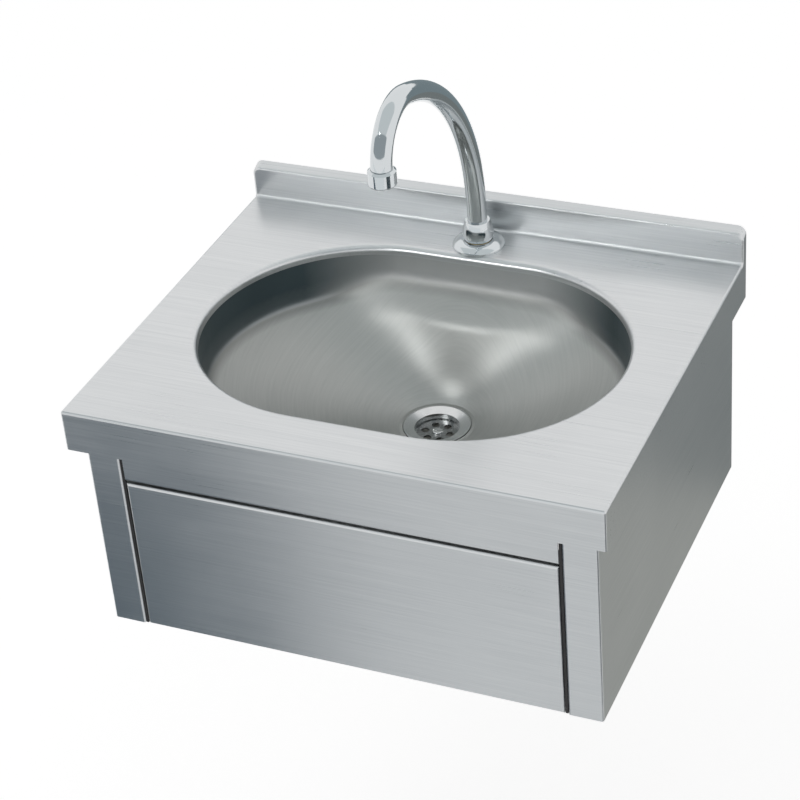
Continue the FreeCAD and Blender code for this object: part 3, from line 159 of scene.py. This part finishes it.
class Wire:
    """A node socket on which plain arithmetic adds Math nodes."""

    def __init__(self, finish, socket):
        self.finish = finish
        self.socket = socket

    def __add__(self, other):
        return self.finish.math("ADD", self, other)

    def __radd__(self, other):
        return self.finish.math("ADD", other, self)

    def __sub__(self, other):
        return self.finish.math("SUBTRACT", self, other)

    def __rsub__(self, other):
        return self.finish.math("SUBTRACT", other, self)

    def __mul__(self, other):
        return self.finish.math("MULTIPLY", self, other)

    def __rmul__(self, other):
        return self.finish.math("MULTIPLY", other, self)

    def __truediv__(self, other):
        return self.finish.math("DIVIDE", self, other)

    def __rtruediv__(self, other):
        return self.finish.math("DIVIDE", other, self)

    def __pow__(self, other):
        return self.finish.math("POWER", self, other)

    def __rpow__(self, other):
        return self.finish.math("POWER", other, self)


class Finish:
    """The node tree of a material or of the world, built one node at a time."""

    def __init__(self, owner):
        owner.use_nodes = True
        self.owner = owner
        self.nodes = owner.node_tree.nodes
        self.links = owner.node_tree.links

    def feed(self, socket, value):
        """Links a wire to a socket, or sets the socket to a plain value."""
        if isinstance(value, Wire):
            self.links.new(value.socket, socket)
        else:
            socket.default_value = value

    def add(self, kind, inputs=(), output=0, **settings):
        """One node: its settings first, then the values or links of its sockets; gives one output."""
        node = self.nodes.new(f"ShaderNode{kind}")
        stops = settings.pop("stops", ())
        for name, value in settings.items():
            setattr(node, name, value)
        for index, (place, level) in enumerate(stops):
            elements = node.color_ramp.elements
            element = elements[index] if index < len(elements) else elements.new(place)
            element.position = place
            element.color = (level, level, level, 1)
        for name, value in dict(inputs).items():
            self.feed(node.inputs[name], value)
        return Wire(self, node.outputs[output])

    def math(self, operation, *values):
        return self.add("Math", dict(enumerate(values)), operation=operation)

    def mix(self, share, first, second):
        """A colour between two, by a share from 0 to 1."""
        inputs = {0: share, 6: first, 7: second}
        return self.add("Mix", inputs, output=2, data_type="RGBA")

    def split(self, vector):
        """The X, Y and Z of a vector."""
        outputs = self.add("SeparateXYZ", {0: vector}).socket.node.outputs
        return [Wire(self, output) for output in outputs]

    def place(self, scale=(1, 1, 1), centre=(0, 0, 0)):
        """The piece's own coordinates, moved so that centre is 0 and then scaled."""
        coords = self.add("TexCoord", output="Object")
        moved = self.add("VectorMath", {0: coords, 1: centre}, operation="SUBTRACT")
        return self.add("Mapping", {"Vector": moved, "Scale": scale})

    def noise(self, vector, detail=2.0, roughness=0.5):
        inputs = {"Vector": vector, "Scale": 1.0, "Detail": detail, "Roughness": roughness}
        return self.add("TexNoise", inputs)

    def clouds(self, count, detail=3.0, roughness=0.5):
        """Soft spots, as many to the metre one way as another."""
        return self.noise(self.place((count, count, count)), detail, roughness)

    def ramp(self, value, *stops):
        return self.add("ValToRGB", {0: value}, stops=stops)

    def bump(self, height, distance):
        return self.add("Bump", {"Height": height, "Distance": distance})

    def seen(self):
        """1 for what the camera sees, and for what gloss and glass show of it; 0 for the rest."""
        rays = self.add("LightPath").socket.node.outputs
        share = Wire(self, rays["Is Camera Ray"])
        for name in ("Is Glossy Ray", "Is Transmission Ray"):
            share = self.math("MAXIMUM", share, Wire(self, rays[name]))
        return share


def surface(name, **inputs):
    """A new material; the inputs are the shader's own sockets by name, with _ for a space."""
    finish = Finish(bpy.data.materials.new(name))
    finish.shader = finish.nodes["Principled BSDF"]
    for socket, value in inputs.items():
        finish.shader.inputs[socket.replace("_", " ")].default_value = value
    return finish


def paint(finish, colour=None, roughness=None, normal=None):
    """Links what varies over the surface to the material's shader."""
    for socket, value in (("Base Color", colour), ("Roughness", roughness), ("Normal", normal)):
        if value is not None:
            finish.feed(finish.shader.inputs[socket], value)
    return finish.owner


def rgb(red, green, blue):
    return (red, green, blue, 1.0)


# Finishes


def grain_lines(finish, wrapped):
    """Streaks along X, or wrapped round upright bends: broad ones, fine ones, and soft clouds."""
    if wrapped:
        across, outwards, height = finish.split(finish.place())
        run = across + outwards
        broad = finish.add("CombineXYZ", {"X": run * STREAKS_ALONG, "Z": height * STREAKS_ACROSS})
        fine = finish.add("CombineXYZ", {"X": run * SCRATCHES_ALONG, "Z": height * SCRATCHES_ACROSS})
    else:
        broad = finish.place((STREAKS_ALONG, STREAKS_ACROSS, STREAKS_ACROSS))
        fine = finish.place((SCRATCHES_ALONG, SCRATCHES_ACROSS, SCRATCHES_ACROSS))
    streaks = finish.noise(broad, detail=3.0, roughness=0.6)
    scratches = finish.noise(fine)
    return streaks, scratches, finish.clouds(SHEET_CLOUDS)


def brushed_sheet(name, wrapped):
    """Stainless sheet brushed lengthways."""
    dark, pale, base = rgb(0.585, 0.60, 0.61), rgb(0.72, 0.73, 0.735), 0.21
    finish = surface(name, Metallic=1.0)
    streaks, scratches, clouds = grain_lines(finish, wrapped)
    share = streaks * 0.55 + scratches * 0.2 + clouds * 0.25
    colour = finish.mix(finish.ramp(share, *STEEL_RANGE), dark, pale)
    roughness = streaks * 0.10 + clouds * 0.08 + base
    normal = finish.bump(streaks * 0.5 + scratches * 0.5, BRUSH_DEPTH)
    return paint(finish, colour, roughness, normal)


def drain_rings(finish):
    """Rubbed lines that run round the drain."""
    from_drain = finish.place(centre=DRAIN_AXIS)
    radius = finish.add("VectorMath", {0: from_drain, 1: (1, 1, 0)}, operation="MULTIPLY")
    reach = finish.add("VectorMath", {0: radius}, output="Value", operation="LENGTH")
    heading = finish.add("VectorMath", {0: radius}, operation="NORMALIZE")
    cosine, sine, _ = finish.split(heading)
    rings = {"X": cosine * RING_CHANGE, "Y": sine * RING_CHANGE, "Z": reach * RING_COUNT}
    return finish.noise(finish.add("CombineXYZ", rings), detail=3.0, roughness=0.6)


def bowl_masks(finish):
    """Masks for where the bowl's wall is, the fold at its foot and the inner wall of its two ends, which
    carry its painted light and painted shade.
    """
    across, outwards, _ = finish.split(finish.place(centre=BOWL_CENTRE))
    past_side = finish.math("MAXIMUM", finish.math("ABSOLUTE", across) - BOWL_STRAIGHT, 0.0)
    past_outline = (past_side ** 2.0 + outwards ** 2.0) ** 0.5 - BOWL_RADIUS
    # The wall mask lays painted light on the wall and lessens its roughness; the fold mask lays painted
    # shade at its foot
    wall = finish.ramp(past_outline / WALL_BAND + 1.0, (0.0, 0.0), (0.8, 1.0))
    fold = finish.ramp(past_outline / FOLD_BAND + 1.0, (0.0, 0.0), (0.55, 0.6))
    # Painted shade on the inner face of the two end walls, by how far their normal turns towards the middle
    sideways = finish.split(finish.add("TexCoord", output="Normal"))[0]
    inwards = sideways * finish.math("SIGN", across) * -1.0
    inner_end_shade = finish.ramp(inwards, (0.12, 0.0), (0.70, 1.0)) * wall
    return wall, fold, inner_end_shade


def satin_bowl():
    """Pressed stainless rubbed to a satin round the drain, with painted shade in the fold, painted light on
    the walls and painted shade on the two end walls.
    """
    dark, pale, base = rgb(0.38, 0.39, 0.38), rgb(0.46, 0.47, 0.455), 0.38
    # The fold and end colours are painted shade, and the wall colour is painted light, over the rubbed steel
    fold_painted_shade, wall_painted_light, end_painted_shade = rgb(0.16, 0.165, 0.16), rgb(0.60, 0.61, 0.61), rgb(0.10, 0.135, 0.15)
    finish = surface("satin_bowl", Metallic=1.0)
    lines = drain_rings(finish)
    clouds = finish.clouds(BOWL_CLOUDS)
    wall, fold, inner_end_shade = bowl_masks(finish)
    colour = finish.mix(finish.ramp(lines * 0.6 + clouds * 0.4, *STEEL_RANGE), dark, pale)
    colour = finish.mix(fold, colour, fold_painted_shade)
    colour = finish.mix(wall, colour, wall_painted_light)
    colour = finish.mix(inner_end_shade, colour, end_painted_shade)
    roughness = lines * 0.08 + clouds * 0.08 + base - wall * 0.04
    return paint(finish, colour, roughness, finish.bump(lines, BRUSH_DEPTH))


def plated(name, tone, base, smear):
    """Bright plating with faint smears."""
    finish = surface(name, Metallic=1.0, Base_Color=tone)
    smears = finish.clouds(PLATE_SMEARS, detail=4.0, roughness=0.6)
    wipes = finish.noise(finish.place(PLATE_WIPES))
    roughness = finish.ramp(smears * 0.6 + wipes * 0.4, (0.35, 0.0), (0.75, 1.0)) * smear + base
    return paint(finish, roughness=roughness)


def turned_metal(name, dark, pale, base, tool_lines):
    """Turned metal with tool lines across one axis and a dull, clouded tarnish."""
    finish = surface(name, Metallic=1.0)
    lines = finish.noise(finish.place(tool_lines))
    clouds = finish.clouds(TARNISH_CLOUDS, detail=4.0, roughness=0.6)
    colour = finish.mix(finish.ramp(clouds * 0.7 + lines * 0.3, (0.3, 0.0), (0.68, 1.0)), dark, pale)
    roughness = clouds * 0.16 + lines * 0.08 + base
    return paint(finish, colour, roughness, finish.bump(lines, TOOL_DEPTH))


def spangled_zinc(name, dark, pale, base):
    """Zinc coated steel with the large crystals of its coating."""
    finish = surface(name, Metallic=1.0)
    vector = finish.place((SPANGLES, SPANGLES, SPANGLES))
    cells = finish.add("TexVoronoi", {"Vector": vector}, output="Color")
    level = finish.add("SeparateColor", {0: cells})
    clouds = finish.clouds(SPANGLE_CLOUDS)
    colour = finish.mix(level * 0.6 + clouds * 0.4, dark, pale)
    return paint(finish, colour, level * 0.14 + clouds * 0.12 + base)


def moulded(name, dark, pale, base, grain):
    """Moulded rubber or plastic with a fine skin."""
    finish = surface(name)
    skin = finish.clouds(grain, roughness=0.6)
    clouds = finish.clouds(SKIN_CLOUDS)
    colour = finish.mix(finish.ramp(clouds, (0.35, 0.0), (0.65, 1.0)), dark, pale)
    return paint(finish, colour, skin * 0.12 + clouds * 0.08 + base, finish.bump(skin, SKIN_DEPTH))


def make_finishes():
    """Every material of the part, by a short name; base is the least roughness that each one has."""
    return {
        "worktop": brushed_sheet("brushed_worktop", wrapped=False),
        "cabinet": brushed_sheet("brushed_cabinet", wrapped=True),
        "satin": satin_bowl(),
        "chrome": plated("chrome_plate", tone=rgb(0.64, 0.67, 0.685), base=0.06, smear=0.08),
        "polished": plated("polished_waste", tone=rgb(0.66, 0.67, 0.67), base=0.12, smear=0.16),
        # The strainer grid's dark tone is painted shade for its place deep in the drain; its greater
        # roughness is its own
        "sieve": plated("dull_shaded_sieve", tone=rgb(0.30, 0.31, 0.31), base=0.22, smear=0.12),
        "brass": turned_metal(
            "dull_brass", dark=rgb(0.42, 0.29, 0.11), pale=rgb(0.66, 0.49, 0.22), base=0.22,
            tool_lines=TOOL_LINES_Y,
        ),
        "copper": turned_metal(
            "copper_tube", dark=rgb(0.34, 0.15, 0.085), pale=rgb(0.66, 0.34, 0.20), base=0.20,
            tool_lines=TOOL_LINES_Z,
        ),
        "zinc": turned_metal(
            "bright_zinc", dark=rgb(0.50, 0.51, 0.52), pale=rgb(0.66, 0.67, 0.68), base=0.18,
            tool_lines=TOOL_LINES_Z,
        ),
        "bar": spangled_zinc(
            "spangled_zinc", dark=rgb(0.42, 0.44, 0.45), pale=rgb(0.60, 0.62, 0.63), base=0.30,
        ),
        "rubber": moulded(
            "black_rubber", dark=rgb(0.012, 0.012, 0.013), pale=rgb(0.03, 0.03, 0.031), base=0.55,
            grain=RUBBER_SKIN,
        ),
        "plastic": moulded(
            "white_plastic", dark=rgb(0.68, 0.68, 0.65), pale=rgb(0.78, 0.78, 0.75), base=0.32,
            grain=PLASTIC_SKIN,
        ),
    }


def dress_nodes(finishes):
    """Gives every solid its finish."""
    groups = {
        "worktop": ("worktop",),
        "cabinet": ("front_rail", "push_panel", "left_side_panel", "right_side_panel"),
        "satin": ("bowl",),
        "bar": ("valve_crossbar", "striker_bracket"),
        "copper": ("supply_pipe",),
        "chrome": ("spout", "swivel_nut", "tap_rosette", "aerator_housing"),
        "polished": ("waste_flange", "waste_screw"),
        "sieve": ("strainer_grid",),
        "brass": ("valve_body", "valve_head", "valve_locknut", "valve_outlet_nut", "tap_tail_nut",
                  "tap_shank", "shank_backnut", "push_button"),
        "zinc": ("hinge_pins", "hinge_clips", "striker_bolt", "striker_locknut", "shank_washer",
                 "return_spring"),
        "rubber": ("deck_gasket", "shank_seal", "piston_seal", "spout_o_rings", "panel_buffers",
                   "waste_top_seal", "waste_bottom_seal", "aerator_washer"),
        "plastic": ("waste_body", "hinge_bushes", "slip_ring", "aerator_screen"),
    }
    for finish, names in groups.items():
        for name in names:
            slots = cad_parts[name].data.materials
            slots.clear()
            slots.append(finishes[finish])


# Pieces that the solids leave out


def add_object(name, shape):
    """An object at the origin from a bmesh, which is used up."""
    mesh = bpy.data.meshes.new(name)
    shape.to_mesh(mesh)
    shape.free()
    piece = bpy.data.objects.new(name, mesh)
    bpy.context.scene.collection.objects.link(piece)
    return piece


def closed_piece(name, shape):
    """An object from a closed bmesh, with its faces turned outwards."""
    bmesh.ops.recalc_face_normals(shape, faces=shape.faces)
    return add_object(name, shape)


def add_thread(name, axis, size, span, finish):
    """One ridge that winds up an upright cylinder, from the low to the high end of its span."""
    radius, pitch = size
    low, high = span
    turns = int((high - low) / pitch)
    foot = axis.x + radius - THREAD_ROOT
    crest = axis.x + radius + THREAD_CREST
    rise = pitch * THREAD_FOOT
    shape = bmesh.new()
    corners = ((foot, low), (crest, low + rise / 2), (foot, low + rise))
    points = [shape.verts.new((x, axis.y, z)) for x, z in corners]
    sides = [shape.edges.new((points[i], points[i - 1])) for i in range(len(points))]
    bmesh.ops.spin(
        shape, geom=points + sides, cent=axis, axis=(0.0, 0.0, 1.0),
        dvec=(0.0, 0.0, pitch / THREAD_STEPS), angle=turns * math.tau, steps=turns * THREAD_STEPS,
    )
    open_edges = [edge for edge in shape.edges if edge.is_boundary]
    bmesh.ops.holes_fill(shape, edges=open_edges)
    thread = closed_piece(name, shape)
    thread.data.materials.append(finish)
    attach(thread, "basin")


def add_threads(brass, plastic):
    """The threads that show from behind and below."""
    add_thread("inlet_thread", INLET_AXIS, HALF_INCH, INLET_SPAN, brass)
    add_thread("shank_thread", TAP_AXIS, HALF_INCH, SHANK_SPAN, brass)
    add_thread("waste_thread", DRAIN_AXIS, INCH_AND_QUARTER, WASTE_SPAN, plastic)


def add_spring(zinc):
    """The return spring's coil, copied from its solid; the spring shortens as the button goes in, but this
    copy keeps its length.
    """
    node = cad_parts["return_spring"]
    shape = bmesh.new()
    shape.from_mesh(node.data)
    bmesh.ops.transform(shape, matrix=node.matrix_world, verts=shape.verts)
    bmesh.ops.remove_doubles(shape, verts=shape.verts, dist=MERGE_REACH)
    spring = closed_piece("return_spring_coil", shape)
    spring.data.shade_smooth()
    spring.data.set_sharp_from_angle(angle=math.radians(SHARP_ANGLE))
    spring.data.materials.append(zinc)
    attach(spring, "basin")
    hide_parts("return_spring")
    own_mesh(spring)


def add_gap_shade_lips(rubber):
    """Dark rubber lips on the stiles, put in the gaps beside the panel as painted shade."""
    for name, side in (("left_gap_shade_lip", -1), ("right_gap_shade_lip", 1)):
        low = Vector((min(side * LIP_INNER, side * LIP_OUTER), LIP_FRONT, LIP_BOTTOM))
        high = Vector((max(side * LIP_INNER, side * LIP_OUTER), LIP_BACK, LIP_TOP))
        shape = bmesh.new()
        bmesh.ops.create_cube(shape, size=1.0)
        bmesh.ops.scale(shape, vec=high - low, verts=shape.verts)
        bmesh.ops.translate(shape, vec=(low + high) / 2, verts=shape.verts)
        bmesh.ops.bevel(
            shape, geom=shape.edges[:], offset=LIP_ROUND, segments=2, profile=0.5,
            affect="EDGES", material=-1,
        )
        lip = closed_piece(name, shape)
        lip.data.materials.append(rubber)
        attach(lip, "basin")


# Studio


def set_world():
    """White behind the part for what is seen or mirrored, and an even fill for the rest."""
    world = bpy.data.worlds.new("studio")
    bpy.context.scene.world = world
    finish = Finish(world)
    background = finish.nodes["Background"]
    background.inputs["Color"].default_value = rgb(1.0, 1.0, 1.0)
    finish.feed(background.inputs["Strength"], finish.seen() * (1.0 - SKY_FILL) + SKY_FILL)


def flat_piece(name, size, matrix):
    """A rectangle with its place in its mesh."""
    shape = bmesh.new()
    bmesh.ops.create_grid(shape, x_segments=1, y_segments=1, size=0.5)
    bmesh.ops.scale(shape, vec=(*size, 1), verts=shape.verts)
    bmesh.ops.transform(shape, matrix=matrix, verts=shape.verts)
    return add_object(name, shape)


def make_floor():
    """A pale floor that keeps the part's shadow and runs into the white behind it."""
    floor = flat_piece("floor", (FLOOR_SIZE, FLOOR_SIZE), Matrix.Translation((0, 0, FLOOR_LEVEL)))
    finish = surface(
        "pale_floor", Base_Color=rgb(FLOOR_TONE, FLOOR_TONE, FLOOR_TONE), Roughness=0.9,
        Specular_IOR_Level=0.0, Emission_Strength=1.0,
    )
    finish.feed(finish.shader.inputs["Emission Color"], finish.seen() * FLOOR_LIFT)
    floor.data.materials.append(finish.owner)


def reflect_only(card, tone, strength=1.0):
    """Makes a card that only mirrors in the metal, as studios hang them beside bright work."""
    finish = surface(
        card.name, Base_Color=rgb(0, 0, 0), Roughness=1.0, Specular_IOR_Level=0.0,
        Emission_Color=tone, Emission_Strength=strength,
    )
    finish.owner.cycles.emission_sampling = "NONE"
    card.data.materials.append(finish.owner)
    card.visible_camera = False
    card.visible_diffuse = False
    card.visible_shadow = False


def hung_card(name, size, place, target, tone, strength=1.0):
    """A card that hangs at a place and faces a target."""
    place = Vector(place)
    turn = (Vector(target) - place).to_track_quat("Z", "Y")
    matrix = Matrix.Translation(place) @ turn.to_matrix().to_4x4()
    reflect_only(flat_piece(name, size, matrix), tone, strength)


def floor_card(name, size, place, tone, turn=0.0, rise=CARD_RISE):
    """A card that lies a little above the floor, turned about the vertical by degrees."""
    lifted = Matrix.Translation((*place, FLOOR_LEVEL + rise))
    matrix = lifted @ Matrix.Rotation(math.radians(turn), 4, "Z")
    reflect_only(flat_piece(name, size, matrix), tone)


def soft_light(name, size, place, target, power):
    """A wide lamp that lights the part without being seen or mirrored."""
    lamp = bpy.data.lights.new(name, "AREA")
    lamp.shape = "RECTANGLE"
    lamp.size, lamp.size_y = size
    lamp.energy = power
    holder = bpy.data.objects.new(name, lamp)
    holder.location = place
    holder.rotation_mode = "QUATERNION"
    holder.rotation_quaternion = (Vector(target) - Vector(place)).to_track_quat("-Z", "Y")
    holder.visible_camera = False
    holder.visible_glossy = False
    bpy.context.scene.collection.objects.link(holder)


def light_studio():
    """One lamp above, and round the part the cards that its steel and chrome mirror."""
    soft_light(
        "top_light", size=(0.8, 0.6), place=(-0.5, -0.9, 1.60), target=STUDIO_CENTRE, power=TOP_POWER,
    )
    hung_card(
        "key_card", size=(0.6, 0.9), place=(-0.52, -1.55, 1.10), target=STUDIO_CENTRE,
        tone=rgb(1.0, 1.0, 1.0), strength=KEY_STRENGTH,
    )
    hung_card(
        "flag_card", size=(0.9, 0.18), place=(-0.15, -0.42, 0.413), target=(-0.15, 0.0, 0.158),
        tone=rgb(0.36, 0.40, 0.42),
    )
    hung_card(
        "edge_flag", size=(0.95, 0.13), place=(-0.10, -0.50, 0.172), target=(-0.10, -0.40, 0.112),
        tone=rgb(0.86, 0.89, 0.90),
    )
    hung_card(
        "back_card", size=(3.2, 1.15), place=(-0.2, 1.6, -0.05), target=(-0.2, 0.0, -0.05),
        tone=rgb(0.22, 0.27, 0.29),
    )
    hung_card(
        "ceiling_card", size=(3.6, 2.4), place=(0.0, -0.9, 1.75), target=(0.0, -0.9, 0.0),
        tone=rgb(0.70, 0.74, 0.75),
    )
    floor_card(
        "front_card", size=(0.62, 1.4), place=(-0.76, -1.02), tone=rgb(0.08, 0.115, 0.145), turn=-30.5,
    )
    floor_card(
        "front_tint", size=(1.7, 1.4), place=(-0.20, -1.20), tone=rgb(0.72, 0.74, 0.75), rise=TINT_RISE,
    )
    floor_card("corner_card", size=(1.1, 0.9), place=(1.25, -0.75), tone=rgb(0.05, 0.07, 0.08))
    floor_card("right_tint", size=(1.2, 0.6), place=(0.70, 0.30), tone=rgb(0.37, 0.38, 0.36))
    floor_card("right_card", size=(1.2, 1.2), place=(0.70, 1.20), tone=rgb(0.21, 0.23, 0.23))


def set_camera():
    """The camera at the photograph's viewing angle."""
    camera = bpy.data.cameras.new("camera")
    camera.lens = CAMERA_LENS
    camera.sensor_width = SENSOR_WIDTH
    camera.clip_start = CLIP_NEAR
    camera.clip_end = CLIP_FAR
    holder = bpy.data.objects.new("camera", camera)
    azimuth = math.radians(CAMERA_AZIMUTH)
    elevation = math.radians(CAMERA_ELEVATION)
    back = Vector((
        math.sin(azimuth) * math.cos(elevation),
        -math.cos(azimuth) * math.cos(elevation),
        math.sin(elevation),
    ))
    roll = Quaternion((0, 0, 1), math.radians(CAMERA_ROLL))
    holder.rotation_mode = "QUATERNION"
    holder.rotation_quaternion = (-back).to_track_quat("-Z", "Y") @ roll
    holder.location = CAMERA_PLACE
    bpy.context.scene.collection.objects.link(holder)
    bpy.context.scene.camera = holder


bpy.context.scene.view_settings.view_transform = "Standard"
finishes = make_finishes()
dress_nodes(finishes)
add_gap_shade_lips(finishes["rubber"])
add_threads(finishes["brass"], finishes["plastic"])
add_spring(finishes["zinc"])
set_world()
make_floor()
light_studio()
set_camera()
